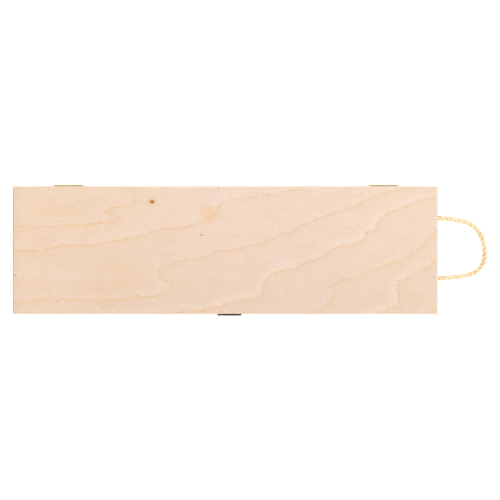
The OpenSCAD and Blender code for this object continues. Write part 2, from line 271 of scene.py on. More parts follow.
def laid_rope(name, way, size, flare):
    """The strands round the way, with U along each strand and V round it, in mm. Size and
    flare say for each point how thick the rope is and how far its strands stand apart."""
    step, side = np.divmod(np.arange((len(way) - 1) * STRAND_SIDES), STRAND_SIDES)
    steps = step[:, None] + (0, 0, 1, 1)
    sides = side[:, None] + (0, 1, 1, 0)
    quads = steps * STRAND_SIDES + sides % STRAND_SIDES
    u, v = distance_along(way)[steps] * 1000, sides * STRAND_GIRTH_MM / STRAND_SIDES
    end_uvs = np.zeros((2 * STRAND_SIDES, 2))
    strand_uvs = np.vstack([np.stack([u, v], axis=-1).reshape(-1, 2), end_uvs])
    points, faces = [], []
    for k in range(STRANDS):
        first = len(points)
        rings = strand_rings(way, 2 * math.pi * k / STRANDS, size, flare)
        points.extend(rings.reshape(-1, 3).tolist())
        faces.extend((quads + first).tolist())
        faces.append(range(first + STRAND_SIDES - 1, first - 1, -1))
        faces.append(range(len(points) - STRAND_SIDES, len(points)))
    mesh = bpy.data.meshes.new(name)
    mesh.from_pydata(points, [], [tuple(face) for face in faces])
    layer = mesh.uv_layers.new(name="strand")
    layer.data.foreach_set("uv", np.tile(strand_uvs, (STRANDS, 1)).astype(np.float32).ravel())
    # From 0 next to the rope's heart to 1 on the outside
    crest = np.tile((1 + np.cos(RING_ANGLES)) / 2, len(way) * STRANDS)
    height = mesh.attributes.new("crest", "FLOAT", "POINT")
    height.data.foreach_set("value", crest.astype(np.float32))
    mesh.shade_smooth()
    return new_object(name, mesh)


def fade(value, start, end, low=0.0, high=1.0):
    """Goes smoothly from low to high while the value goes from start to end."""
    inputs = {0: value, 1: start, 2: end, 3: low, 4: high}
    return add_node(value.tree, "ShaderNodeMapRange", inputs, interpolation_type="SMOOTHSTEP")


def linear(colour):
    """A colour for a shader, from the 0 to 255 values that a screen shows."""
    shown = [value / 255 for value in colour]
    parts = [v / 12.92 if v <= 0.04045 else ((v + 0.055) / 1.055) ** 2.4 for v in shown]
    return (*parts, 1.0)


def layered(colour, *layers):
    """The colour with each layer, an amount and a colour, blended over it in turn."""
    for amount, over in layers:
        lower, upper = [c if isinstance(c, Signal) else linear(c) for c in (colour, over)]
        inputs = {0: amount, 6: lower, 7: upper}
        colour = add_node(amount.tree, "ShaderNodeMix", inputs, 2, data_type="RGBA",
                          clamp_factor=True)
    return colour


def noise(place, sizes, seed, detail=2.0, roughness=0.5):
    """Noise whose lumps have the given size along each axis of the place."""
    inputs = {"Vector": place, "Location": (seed * 7.3, seed * 3.1, seed * 5.7),
              "Scale": [1 / size for size in sizes]}
    spread = add_node(place.tree, "ShaderNodeMapping", inputs)
    inputs = {"Vector": spread, "Detail": detail, "Roughness": roughness, "Scale": 1.0}
    return add_node(place.tree, "ShaderNodeTexNoise", inputs)


def bump(height, strength, distance):
    """The surface's direction where that height stands out of it."""
    inputs = {"Height": height, "Strength": strength, "Distance": distance}
    return add_node(height.tree, "ShaderNodeBump", inputs)


ROPE_CREAM = (255, 252, 236)
ROPE_STRAW = (255, 226, 160)
ROPE_VALLEY_SHADE = (248, 188, 96)

rope_material, tree, surface = new_material("rope_fibre")
strand_place = add_node(tree, "ShaderNodeUVMap", uv_map="strand")
slanted = add_node(tree, "ShaderNodeMapping",
                   {"Vector": strand_place, "Rotation": (0, 0, YARN_SLANT)})
threads = noise(slanted, (3, 0.16, 1), 1, detail=3, roughness=0.6)
patches = noise(slanted, (4.5, 1.2, 1), 2, detail=3)
crest = add_node(tree, "ShaderNodeAttribute", output="Fac", attribute_name="crest")
depth = crest + fade(patches, 0.35, 0.65, 0.18, -0.18)
colour = layered(
    ROPE_CREAM,
    (fade(threads, 0.35, 0.75, 0, 0.6), ROPE_STRAW),
    (fade(patches, 0.42, 0.64, 0, 0.75), ROPE_STRAW),
    # Painted shade: the grooves between the strands, next to the rope's heart, turn darker and
    # more orange
    (fade(depth, 0.78, 0.46, 0, 0.95), ROPE_VALLEY_SHADE),
)
set_inputs(surface, {
    "Base Color": colour, "Roughness": fade(threads, 0.2, 0.8, 0.5, 0.72),
    "Normal": bump(threads, 0.55, 0.00012), "Sheen Weight": 0.25, "Sheen Roughness": 0.4,
    "Specular IOR Level": 0.3,
})


def new_geometry_tree(name, values):
    """A Geometry Nodes tree, and the signals of its geometry and of an input for each value."""
    tree = bpy.data.node_groups.new(name, "GeometryNodeTree")
    tree.interface.new_socket("Geometry", in_out="INPUT", socket_type="NodeSocketGeometry")
    kinds = {float: "Float", int: "Int", tuple: "Vector", bpy.types.Material: "Material"}
    for label, value in values.items():
        kind = "NodeSocket" + kinds[type(value)]
        tree.interface.new_socket(label, in_out="INPUT", socket_type=kind)
    tree.interface.new_socket("Geometry", in_out="OUTPUT", socket_type="NodeSocketGeometry")
    outputs = tree.nodes.new("NodeGroupInput").outputs
    return tree, {output.name: Signal(output) for output in outputs}


def end_tree(geometry, material):
    """Gives the geometry its material and makes it the tree's result."""
    painted = add_node(geometry.tree, "GeometryNodeSetMaterial",
                       {"Geometry": geometry, "Material": material})
    set_inputs(geometry.tree.nodes.new("NodeGroupOutput"), {"Geometry": painted})


def join(*parts):
    """The parts together as one geometry."""
    joined = add_node(parts[0].tree, "GeometryNodeJoinGeometry")
    for part in parts:
        set_inputs(joined.socket.node, {0: part})
    return joined


def planted(points, item, rotation, scale, least_turn, most_turn, seed):
    """The item at each point, in that rotation and scale, turned at random about itself."""
    inputs = {"Points": points, "Instance": item, "Rotation": rotation, "Scale": scale}
    placed = add_node(item.tree, "GeometryNodeInstanceOnPoints", inputs)
    turn = add_node(item.tree, "FunctionNodeRandomValue",
                    {"Min": least_turn, "Max": most_turn, "Seed": seed}, data_type="FLOAT_VECTOR")
    turned = add_node(item.tree, "GeometryNodeRotateInstances",
                      {"Instances": placed, "Rotation": turn, "Local Space": True})
    return add_node(item.tree, "GeometryNodeRealizeInstances", {"Geometry": turned})


def vector(*parts):
    """The vector with those numbers or signals as its X, Y and Z."""
    tree = next(part.tree for part in parts if isinstance(part, Signal))
    return add_node(tree, "ShaderNodeCombineXYZ", dict(enumerate(parts)))


def bake(piece):
    """Leaves the piece with a plain mesh of what its modifiers make."""
    evaluated = piece.evaluated_get(bpy.context.evaluated_depsgraph_get())
    mesh = bpy.data.meshes.new_from_object(evaluated)
    piece.modifiers.clear()
    piece.data = mesh


def grow(piece, tree, values):
    """Replaces the piece's mesh by what the tree makes of it with those values."""
    modifier = piece.modifiers.new(tree.name, "NODES")
    modifier.node_group = tree
    for item in tree.interface.items_tree:
        if item.in_out == "INPUT" and item.name in values:
            modifier[item.identifier] = values[item.name]
    bake(piece)


# Loose fibres stand on the strands, bent over at the knee and never below the table
FIBRE_ROOT = (0.0, 0.0, -0.0001)
FIBRE_KNEE = (0.55, 0.0, 0.3)
FIBRE_BEND = (0.0, 0.0003, 0.0)
FIBRE_GROWTH = (0.45, 1.15)
FIBRE_RADIUS = 0.00003
FIBRE_VALUES = {
    "Fibres per Area": 1.1e5, "Length": 0.0024, "Lift": 0.0007, "Radius": FIBRE_RADIUS,
    "Table Height": FIBRE_RADIUS, "Seed": 5, "Material": rope_material,
}

fibres, given = new_geometry_tree("loose_fibres", FIBRE_VALUES)
roots = add_node(fibres, "GeometryNodeDistributePointsOnFaces", {
    "Mesh": given["Geometry"], "Density": given["Fibres per Area"], "Seed": given["Seed"],
})
tip = vector(given["Length"], 0.0, given["Lift"])
knee = add_node(fibres, "ShaderNodeVectorMath", {0: tip, 1: FIBRE_KNEE, 2: FIBRE_BEND},
                operation="MULTIPLY_ADD")
curve = add_node(fibres, "GeometryNodeCurveQuadraticBezier",
                 {"Resolution": 5, "Start": FIBRE_ROOT, "Middle": knee, "End": tip})
thread = add_node(fibres, "GeometryNodeCurvePrimitiveCircle",
                  {"Resolution": 3, "Radius": given["Radius"]})
fibre = add_node(fibres, "GeometryNodeCurveToMesh",
                 {"Curve": curve, "Profile Curve": thread, "Fill Caps": True})
growth = add_node(fibres, "FunctionNodeRandomValue",
                  {2: FIBRE_GROWTH[0], 3: FIBRE_GROWTH[1], "Seed": 4}, 1, data_type="FLOAT")
upright = Signal(roots.socket.node.outputs["Rotation"])
fuzz = planted(roots, fibre, upright, growth,
               least_turn=(0.0, 0.0, 0.0), most_turn=(0.0, 0.0, 2 * math.pi), seed=3)
x, y, z = add_node(fibres, "GeometryNodeInputPosition").parts()
lying = vector(x, y, z.math("MAXIMUM", given["Table Height"]))
fuzz = add_node(fibres, "GeometryNodeSetPosition", {"Geometry": fuzz, "Position": lying})
end_tree(join(fuzz, given["Geometry"]), given["Material"])

outer_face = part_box("base_right_end")[1].x
inner_face = outer_face - WALL
back_y, front_y = ROPE_HOLES_Y
rope_points = [
    (inner_face, back_y, ROPE_HEIGHT), (outer_face, back_y, ROPE_HEIGHT),
    *[(outer_face + out, y, z) for out, y, z in ROPE_ROUTE],
    (outer_face, front_y, ROPE_HEIGHT), (inner_face, front_y, ROPE_HEIGHT),
]
rope_way = smooth_way(rope_points, ROPE_STEP)
rope = laid_rope("rope_handle_strands", rope_way, np.ones(len(rope_way)), 1)
grow(rope, fibres, FIBRE_VALUES)
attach(rope, "base")
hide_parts("rope_handle")


# ---- Rope knots ----
# Each end of the rope is tied in an overhand knot inside the box, pulled flat against the
# wall, with a short tail that has begun to fray.
KNOT_LOOP = 0.0031
KNOT_WEAVE = 0.0015
KNOT_RISE = 0.0022
KNOT_HEIGHT = 0.0041
KNOT_SQUEEZE = 0.85
KNOT_OPEN = 0.35
KNOT_POINTS = 22
# Ways into and out of the knot, as (distance in from the wall, Y, height above the hole)
KNOT_START = [(-0.003, 0.0, 0.0), (0.0, 0.0, 0.0)]
KNOT_TAIL = [(0.0085, 0.0, 0.0), (0.0114, 0.0, 0.0002), (0.0158, 0.0004, -0.0009)]
# The frayed end: its length, how much thinner it gets and how far its strands part
FRAY = 0.003
FRAY_THINS = 0.3
FRAY_PARTS = 0.8
# Place in Y of each end's hole, and the turn of its knot in radians
KNOTS = {"rope_knot_back": (back_y, 0.6), "rope_knot_front": (front_y, 2.4)}
KNOT_SEED = 8


def knot_way(y, turn):
    """Way of the rope from its hole through an overhand knot to its tail."""
    first = math.pi / 3 + KNOT_OPEN
    last = math.pi / 3 + 2 * math.pi - KNOT_OPEN
    tied = []
    for t in np.linspace(first, last, KNOT_POINTS):
        out = KNOT_LOOP + KNOT_WEAVE * math.cos(3 * t)
        tied.append((KNOT_HEIGHT - KNOT_RISE * math.sin(3 * t),
                     out * math.cos(2 * t + turn), out * math.sin(2 * t + turn)))
    return smooth_way([(inner_face - inward, y + aside, ROPE_HEIGHT + up)
                       for inward, aside, up in KNOT_START + tied + KNOT_TAIL], ROPE_STEP)


knots = []
for node, (y, turn) in KNOTS.items():
    way = knot_way(y, turn)
    fray = np.clip(1 - np.linalg.norm(way - way[-1], axis=1) / FRAY, 0, 1)
    size = KNOT_SQUEEZE * (1 - FRAY_THINS * fray**2)
    knot = laid_rope(node + "_strands", way, size, 1 + FRAY_PARTS * fray)
    grow(knot, fibres, {**FIBRE_VALUES, "Seed": KNOT_SEED + len(knots)})
    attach(knot, "base")
    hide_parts(node)
    knots.append(knot)


# ---- Lid panel ----
# A 4 mm sheet of birch plywood glued on top of the lid's four rails and sanded flush, with its
# outer edges rounded. Its face veneer shows growth rings that run up to the right, each one a
# thin orange line with pale new wood behind it.
PANEL_EDGE = 0.001
PANEL_EDGE_STEPS = 4
PANEL_CORNER_SQUARENESS = 5
PANEL_SHARP_FROM = math.radians(50)
PANEL_GRID = 0.00125
RING_STEP_MM = 0.6
# Parts in which the lid's points are measured from a ring, to spare memory
RING_BATCHES = 16
# How straight inward a face looks that is glued to the walls
GLUED_FACING = 0.9
# Heights of the sheet's two glue lines above its underside
GLUE_LINES_MM = (1.1, 2.9)
# Width in mm of the rounded rim at each side of the lid, where painted shade and painted
# highlight lie
RIM_WIDTH = 0.95
# X in mm of the middle of the rosy part of the lid
ROSY_MIDDLE = 30
# The face veneer's knot, in mm: place, half length, half width
VENEER_KNOT = (-60.3, 39.8, 2.2, 1.65)
# Each ring runs with its pale side on the left: its way in mm from the middle of the lid, and
# how strong its line is along that way, and its pale band, from 0 to 1
GROWTH_RINGS = {
    "ring_1": ([
        (-179.7, 18.9), (-172.7, 19.9), (-165.7, 19.4), (-157.7, 18.4), (-146.3, 19.2),
        (-127.3, 20.4), (-109.8, 21.4), (-100.9, 22.4), (-92.4, 23.4), (-88.4, 24.9),
        (-89.9, 26.9), (-93.4, 28.9), (-99.4, 31.4), (-94.4, 34.3), (-89.4, 35.3), (-79.4, 36.8),
        (-74.9, 39.8), (-74.4, 43.8), (-78.4, 48.8), (-82.9, 51.8), (-89.9, 56.8),
    ], (0.75, 0.7, 0.7, 0.85, 0.8, 0.5), (0.0, 0.1, 0.1, 0.1, 0.2, 0.1)),
    "ring_2": ([
        (-179.7, 0.2), (-172.7, -0.1), (-163.2, -0.7), (-154.2, -0.6), (-142.8, 1.4),
        (-135.3, 3.9), (-127.3, 3.4), (-107.9, 3.9), (-100.9, 4.9), (-89.4, 7.9), (-79.4, 9.4),
        (-69.5, 10.9), (-60.5, 14.4), (-51.5, 16.9), (-41.5, 17.4), (-31.6, 19.4), (-23.6, 21.9),
        (-15.6, 24.9), (-8.6, 30.4), (-6.1, 34.8), (-4.1, 37.8), (2.3, 40.8), (13.8, 42.8),
        (27.3, 45.3), (40.7, 45.3), (49.7, 47.8), (60.2, 50.8), (71.7, 55.8),
    ], (0.95, 1.0, 0.8, 0.7, 0.55, 0.5, 0.6), (0.1, 0.3, 0.4, 0.3, 0.8, 0.7, 0.3)),
    "ring_3": ([
        (-179.7, -42.4), (-163.2, -42.4), (-149.7, -40.9), (-140.8, -39.5), (-127.3, -40.9),
        (-109.8, -41.4), (-91.9, -41.4), (-75.9, -40), (-71.5, -38.5), (-62, -38.5), (-53, -36.5),
        (-45, -33), (-43, -30.5), (-47, -27), (-52.5, -23.5), (-55.5, -19.5), (-54, -16.5),
        (-48.5, -13), (-40, -9.5), (-29.1, -7.5), (-15.6, -5.5), (-11.1, -3.1), (-6.6, -1.1),
        (4.8, -0.1), (13.8, 1.4), (20.8, 4.4), (27.8, 4.9), (36.3, 7.9), (45.2, 13.4),
        (53.2, 14.9), (61.2, 19.4), (82.1, 27.9), (98.1, 33.4), (108.6, 36.8), (118, 42.3),
        (129.5, 46.3), (140, 49.3), (155.9, 51.3), (174.4, 53.8),
    ], (0.7, 0.65, 0.7, 0.8, 0.75, 0.8, 0.7, 0.55), (0.1, 0.2, 0.4, 0.3, 0.2, 0.4, 0.6, 0.3)),
    "ring_4": ([
        (-50, -52.4), (-35.5, -50.9), (-23.6, -50.4), (-13.6, -48.9), (-5.1, -46.9), (2.3, -44.4),
        (13.8, -41.9), (25.3, -40.5), (28.8, -38), (31.3, -35), (31.8, -28), (34.3, -24),
        (40.7, -19.5), (47.7, -17), (57.7, -15), (64.7, -11.5), (77.1, -7), (86.6, -1.1),
        (93.6, 2.9), (103.1, 3.9), (111.6, 7.4), (116, 11.4), (116, 14.4), (123, 15.9),
        (125.5, 21.9), (130.5, 27.4), (139, 31.9), (150.4, 36.8), (160.9, 40.8), (172.4, 42.8),
        (179.4, 43.8),
    ], (0.6, 0.85, 0.85, 0.9, 0.7, 0.75, 0.7), (0.4, 0.6, 0.7, 0.4, 0.9, 1.0, 0.8)),
    "ring_5": ([
        (62, -56), (71.5, -50.9), (79.6, -46.6), (86.6, -42.3), (90.1, -38.6), (90.1, -34.8),
        (88.7, -32.1), (86.2, -30.8), (89.5, -29.8), (91.9, -27.8), (94.6, -25.6), (98.3, -24.6),
        (104.3, -23.8), (108.5, -22.2), (115, -19.2), (121.4, -17.1), (136.5, -10.8),
        (146.1, -7.4), (153.7, -3.6), (158, -0.4), (161.8, 2.8), (168.7, 10.3), (174, 16.2),
        (180, 22.5),
    ], (0.6, 0.7, 0.7, 0.7, 0.6), (0.1, 0.1, 0.2, 0.3, 0.5)),
    "ring_6": ([
        (121.5, -54.9), (130.5, -50.9), (138, -47.4), (143, -40.9), (143, -36), (141.5, -29.5),
        (145.5, -25.5), (155.9, -19.5), (166.4, -14), (173.4, -8), (179.4, -2.1),
    ], (0.75, 0.8, 0.75, 0.7), (0.8, 0.9, 0.5, 0.3)),
    "ring_7": ([
        (159.4, -56.9), (169.4, -50.9), (173.9, -47.4), (181.4, -41.9),
    ], (0.7, 0.7), (0.1, 0.1)),
}
# Small knots, bark flecks and pin marks of the face veneer, in mm: place, half length, half
# width, and how dark they are
FLECKS = [
    (-172.6, -20.6, 0.9, 0.6, 0.75), (-138.2, -41.9, 0.9, 0.7, 0.4),
    (-72.9, -37.4, 0.9, 0.7, 0.35), (-5.8, 50, 0.7, 0.9, 0.35), (-19.9, 12.5, 0.8, 0.7, 0.8),
    (-17.5, 12.6, 1.3, 0.4, 0.25), (44.3, 19.4, 0.6, 0.6, 0.3), (-4, -49.9, 0.6, 0.7, 0.4),
    (62.8, -37.8, 0.6, 0.6, 0.25), (81.2, 41.9, 0.6, 0.7, 0.28), (171.5, 18.7, 0.7, 0.7, 0.45),
    (148.1, 0.6, 0.5, 0.5, 0.3), (145, -11.7, 0.7, 0.5, 0.35), (149.3, -35.7, 0.7, 0.5, 0.35),
    (84.6, -30.1, 0.9, 0.8, 0.4), (116.4, 14.1, 0.6, 0.6, 0.3), (-47, 33.3, 1.0, 0.5, 0.2),
    (29.3, 13.1, 0.9, 0.4, 0.15),
]
# Patches where the wood is streaked orange, in mm: place, half length, half width, strength
ORANGE_STREAKS = [
    (-13.6, 29.9, 9.5, 8.0, 1.3), (-92.9, -25, 36, 17, 0.42), (-141.8, 32.9, 24, 8, 0.34),
    (56.7, 7.9, 7, 14, 0.3), (-149.7, 7.9, 24, 6, 0.3), (-159.7, -28, 20, 9, 0.3),
]

VENEER = (244, 219, 199)
VENEER_YELLOW = (246, 218, 190)
VENEER_ROSE = (246, 220, 207)
VENEER_CREAM = (247, 223, 204)
VENEER_PALE = (249, 230, 218)
VENEER_TAN = (230, 199, 165)
VENEER_PAINTED_SHADE = (226, 200, 178)
RING_ORANGE = (240, 188, 120)
RING_ROSE = (236, 182, 136)
FIBRE_BROWN = (222, 180, 128)
RIM_PAINTED_SHADE = (206, 166, 136)
RIM_PAINTED_HIGHLIGHT = (255, 235, 213)
KNOT_BROWN = (172, 98, 44)
FLECK_BROWN = (166, 98, 44)
KNOT_HALO = (226, 170, 104)
PLY_CORE = (222, 188, 148)
GLUE_BROWN = (176, 134, 92)


def grid_lines(low, high, step):
    """Places from low to high a step apart, and closer together in the rounded edges."""
    count = max(1, round((high - low - 2 * PANEL_EDGE) / step))
    near = np.arange(PANEL_EDGE_STEPS) * PANEL_EDGE / PANEL_EDGE_STEPS
    middle = np.linspace(low + PANEL_EDGE, high - PANEL_EDGE, count + 1)
    return np.concatenate([low + near, middle, high - near[::-1]])


def sheet(name, low, high, step, outer, inner, outer_is_top):
    """A closed slab of fine faces with its upright edges, and those of its outer face, rounded.
    The outer material is on all but the inner face, which is glued to the walls."""
    lines = [grid_lines(low.x, high.x, step), grid_lines(low.y, high.y, step),
             grid_lines(low.z, high.z, high.z - low.z)]
    numbers, faces = {}, []
    # The two sides that lie across each axis, with the corners in the order that faces outward
    for axis, across, up in ((2, 0, 1), (1, 2, 0), (0, 1, 2)):
        for i, j in np.ndindex(len(lines[across]) - 1, len(lines[up]) - 1):
            corners = [(i, j), (i + 1, j), (i + 1, j + 1), (i, j + 1)]
            for end, order in ((0, (0, 3, 2, 1)), (len(lines[axis]) - 1, (0, 1, 2, 3))):
                face = []
                for n in order:
                    key = [end, end, end]
                    key[across], key[up] = corners[n]
                    face.append(numbers.setdefault(tuple(key), len(numbers)))
                faces.append(face)
    place = np.array([[line[n] for line, n in zip(lines, key)] for key in numbers])
    core_low, core_high = np.array(low) + PANEL_EDGE, np.array(high) - PANEL_EDGE
    if outer_is_top:
        core_low[2] = low.z
    else:
        core_high[2] = high.z
    core = np.clip(place, core_low, core_high)
    out = place - core
    flat = np.linalg.norm(out[:, :2], ord=PANEL_CORNER_SQUARENESS, axis=1)
    length = np.maximum(np.hypot(flat, out[:, 2]), 1e-9)
    place = core + out * (np.abs(out).max(axis=1) / length)[:, None]
    mesh = bpy.data.meshes.new(name)
    mesh.from_pydata(place.tolist(), [], faces)
    mesh.shade_smooth()
    mesh.set_sharp_from_angle(angle=PANEL_SHARP_FROM)
    piece = new_object(name, mesh, outer, inner)
    for face in mesh.polygons:
        inward = -face.normal.z if outer_is_top else face.normal.z
        face.material_index = int(inward > GLUED_FACING)
    return piece


def store_ring(mesh, name, points, *strengths):
    """Keeps for each point of the mesh how far left of the ring it lies in mm, and how strong
    the ring's line and its pale band are there."""
    way = smooth_way(points, RING_STEP_MM)
    ahead = unit(np.gradient(way, axis=0))
    left = np.stack([-ahead[:, 1], ahead[:, 0]], axis=1)
    place = np.zeros(len(mesh.vertices) * 3, np.float32)
    mesh.vertices.foreach_get("co", place)
    flat = place.reshape(-1, 3)[:, :2] * 1000
    nearest = np.concatenate([((part[:, None] - way) ** 2).sum(axis=2).argmin(axis=1)
                              for part in np.array_split(flat, RING_BATCHES)])
    kept = [((flat - way[nearest]) * left[nearest]).sum(axis=1)]
    for values in strengths:
        even = np.linspace(0, len(values) - 1, len(way))
        kept.append(np.interp(even, range(len(values)), values)[nearest])
    kept = np.stack(kept, axis=1).astype(np.float32)
    mesh.attributes.new(name, "FLOAT_VECTOR", "POINT").data.foreach_set("vector", kept.ravel())


def place_in_mm(tree):
    """Where a point lies on the box, in mm."""
    place = add_node(tree, "ShaderNodeTexCoord", output="Object")
    return add_node(tree, "ShaderNodeVectorMath", {0: place, "Scale": 1000.0}, operation="SCALE")


def facing_of(tree):
    """How far the surface faces along X, Y and Z."""
    return add_node(tree, "ShaderNodeTexCoord", output="Normal").parts()


def length_of(vector):
    return add_node(vector.tree, "ShaderNodeVectorMath", {0: vector}, "Value", operation="LENGTH")


def greatest(top, *others):
    """The greatest of the signals."""
    for other in others:
        top = top.math("MAXIMUM", other)
    return top


def in_spot(place, x, y, half_length, half_width):
    """Distance from the middle of a spot, as a share of its half length and half width."""
    inputs = {"Vector": place, "Location": (-x / half_length, -y / half_width, 0.0),
              "Scale": (1 / half_length, 1 / half_width, 0.0)}
    return length_of(add_node(place.tree, "ShaderNodeMapping", inputs))


def spots(place, marks, edge, core):
    """The strongest of the marks, each of which fades in from its edge to its core."""
    return greatest(*[fade(in_spot(place, *spot), edge, core, 0, strength)
                      for *spot, strength in marks])


def ring_look(offset):
    """How much line, pale band and tan band a growth ring leaves at that offset in mm."""
    line = fade(abs(offset), 1.1, 0.1)
    pale = fade(offset, 10, 2.5) * fade(offset, 0.2, 3)
    tan = fade(offset, -9, -0.5) * fade(offset, 0.6, -0.6)
    return line, pale, tan


def fibre_marks(place, seed):
    """Fine streaks, and the short brown dashes of the pores, which run along X."""
    streaks = noise(place, (14, 0.5, 0.8), seed, detail=4, roughness=0.75)
    dashes = noise(place, (2.2, 0.36, 0.5), seed + 1, detail=3, roughness=0.6)
    clouds = noise(place, (30, 9, 9), seed + 2)
    return streaks, fade(dashes, 0.5, 0.74) * fade(clouds, 0.3, 0.7, 0.45, 1)


def finish_wood(surface, colour, streaks):
    """Bare sanded wood: matt, with the fibres just felt."""
    set_inputs(surface, {
        "Base Color": colour, "Roughness": fade(streaks, 0.2, 0.8, 0.62, 0.75),
        "Normal": bump(streaks, 0.25, 0.00015), "Specular IOR Level": 0.3,
    })


def ply_edge(place, bottom, colour, seed):
    """Gives the sheet's edge its core and glue lines; the faces keep their colour."""
    on_edge = fade(abs(facing_of(place.tree)[2]), 0.75, 0.45)
    waver = noise(place, (12, 12, 4), seed)
    depth = place.parts()[2] - bottom + fade(waver, 0.2, 0.8, -0.12, 0.12)
    low, high = GLUE_LINES_MM
    core = fade(depth, low - 0.05, low + 0.05) * fade(depth, high + 0.05, high - 0.05)
    lines = greatest(*[fade(abs(depth - at), 0.16, 0.04) for at in GLUE_LINES_MM])
    pores = noise(place, (1.2, 1.2, 0.25), seed + 1, detail=3)
    core_colour = layered(PLY_CORE, (fade(pores, 0.35, 0.75, 0, 0.4), GLUE_BROWN))
    edge = layered(colour, (core, core_colour), (lines * 0.6, GLUE_BROWN))
    return layered(colour, (on_edge, edge))


def lid_veneer(half_length, half_width, bottom):
    """The lid's face: the stored growth rings, the knot, the flecks and the fibres, with the
    half length, the half width and the underside of the sheet given in mm."""
    material, tree, surface = new_material("lid_veneer")
    place = place_in_mm(tree)
    x, y, _ = place.parts()
    from_middle = abs(x - ROSY_MIDDLE)
    streaks, dashes = fibre_marks(place, 11)
    feather = noise(place, (4.5, 0.5, 1), 15, roughness=0.6)
    drift = noise(place, (8, 4, 4), 16)
    ragged = fade(feather, 0.25, 0.75, -0.65, 0.65) + fade(drift, 0.25, 0.75, -0.45, 0.45)
    uneven = fade(noise(place, (9, 2, 2), 17), 0.3, 0.7, 0.65, 1.2)
    broad = noise(place, (60, 16, 10), 18, detail=3)
    tint = noise(place, (7, 3, 3), 20, detail=3)
    strands = noise(place, (6, 0.8, 1), 21, detail=3, roughness=0.6)
    # Uneven strength of the painted shade on the left rim
    mottled = fade(noise(place, (30, 22, 4), 22), 0.35, 0.65, 1, 0.65)
    rings = []
    for name in GROWTH_RINGS:
        stored = add_node(tree, "ShaderNodeAttribute", output="Vector", attribute_name=name)
        offset, line_strength, pale_strength = stored.parts()
        line, pale, tan = ring_look(offset + ragged)
        rings.append((line * line_strength, pale * pale_strength, tan * line_strength))
    line, pale, tan = [greatest(*marks) for marks in zip(*rings)]
    blush = spots(place, ORANGE_STREAKS, 1.15, 0.45) * fade(strands, 0.36, 0.58)
    line_colour = layered(RING_ORANGE, (fade(from_middle, 130, 20, 0, 0.8), RING_ROSE))
    knot = in_spot(place, *VENEER_KNOT)
    # Painted shade along the left rim and faintly near it; painted highlight along the right rim
    # and along the back rim, stronger to the right
    left_rim_shade = fade(x, RIM_WIDTH - half_length, RIM_WIDTH - half_length - 0.15) * mottled
    near_left_shade = fade(x, 11.0 - half_length, -half_length, 0, 0.08)
    right_rim_highlight = fade(x, half_length - 1.6 * RIM_WIDTH, half_length - RIM_WIDTH) * 0.6
    back_rim_highlight = fade(y, half_width - 2 * RIM_WIDTH, half_width - RIM_WIDTH)
    colour = layered(
        VENEER,
        # Broad clouds of colour, and painted shade towards the front
        (fade(x, 40, -170) * fade(broad, 0.25, 0.7, 0.4, 1), VENEER_YELLOW),
        (fade(from_middle, 130, 20) * fade(broad, 0.7, 0.3, 0.2, 0.9), VENEER_ROSE),
        (fade(x, 70, 150, 0, 0.8), VENEER_CREAM),
        (fade(broad, 0.5, 0.8, 0, 0.5), VENEER_PALE),
        # Painted shade: darker towards the front of the lid, less so at its left end
        (fade(y, 55, -60, 0, 0.5) * fade(x, -175, -90, 0.25, 1), VENEER_PAINTED_SHADE),
        (fade(tint, 0.5, 0.7, 0, 0.5), VENEER_YELLOW),
        (fade(tint, 0.5, 0.3, 0, 0.5), VENEER_ROSE),
        # Growth rings and fibres
        (tan * 0.16, VENEER_TAN),
        (pale * fade(streaks, 0.7, 0.35, 0.4, 1) * 0.75, VENEER_PALE),
        (fade(streaks, 0.3, 0.75, 0, 0.28), VENEER_TAN),
        (dashes * 0.85, FIBRE_BROWN),
        (blush * 0.36, RING_ORANGE),
        (line * uneven * 0.58, line_colour),
        # Flecks, and the knot with its ripple, halo and heart
        (spots(place, FLECKS, 1.3, 0.4), FLECK_BROWN),
        (fade(abs(knot - 2.2), 0.5, 0.1, 0, 0.18), VENEER_TAN),
        (fade(knot, 1.7, 0.9, 0, 0.7), KNOT_HALO),
        (fade(knot, 1.15, 0.2), KNOT_BROWN),
        # Painted shade along the left rim, painted highlight along the right and back rims
        (greatest(left_rim_shade, near_left_shade), RIM_PAINTED_SHADE),
        (greatest(right_rim_highlight, fade(x, -120, -60, 0.1, 0.4) * back_rim_highlight), RIM_PAINTED_HIGHLIGHT),
    )
    finish_wood(surface, ply_edge(place, bottom, colour, 19), streaks)
    return material


def plain_veneer(name, bottom, seed, ring_gap, slope):
    """A face without knots: rings that waver along the sheet, a given gap in mm apart. They
    climb in Y by the slope, and the sheet's underside is given in mm."""
    material, tree, surface = new_material(name)
    place = place_in_mm(tree)
    x, y, _ = place.parts()
    streaks, dashes = fibre_marks(place, seed)
    waves = noise(place, (110, 34, 40), seed + 4)
    ripple = noise(place, (14, 3, 4), seed + 5)
    height = y - x * slope + fade(waves, 0.2, 0.8, -1.6 * ring_gap, 1.6 * ring_gap)
    # Counted from a metre away, so that no height is below zero
    height = height + fade(ripple, 0.2, 0.8, -1.2, 1.2) + 1000.0
    turn = height.math("DIVIDE", ring_gap).math("FRACT")
    line, pale, tan = ring_look((turn - 0.5) * ring_gap)
    colour = layered(
        VENEER, (tan * 0.3, VENEER_TAN), (pale * 0.5, VENEER_PALE),
        (fade(streaks, 0.3, 0.75, 0, 0.2), VENEER_TAN), (dashes * 0.75, FIBRE_BROWN),
        (line * fade(ripple, 0.3, 0.7, 0.35, 0.7), RING_ORANGE),
    )
    finish_wood(surface, ply_edge(place, bottom, colour, seed + 8), streaks)
    return material


low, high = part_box("lid_panel")
lid_panel = sheet("lid_panel_sheet", low, high, PANEL_GRID,
                  lid_veneer(high.x * 1000, high.y * 1000, low.z * 1000),
                  plain_veneer("lid_inner_veneer", low.z * 1000,
                               seed=31, ring_gap=24.0, slope=0.12),
                  outer_is_top=True)
for name, ring in GROWTH_RINGS.items():
    store_ring(lid_panel.data, name, *ring)
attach(lid_panel, "lid")
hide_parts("lid_panel")


# ---- Base panel ----
# The same plywood closes the bottom of the box, glued under its four walls.
BASE_GRID = 0.025

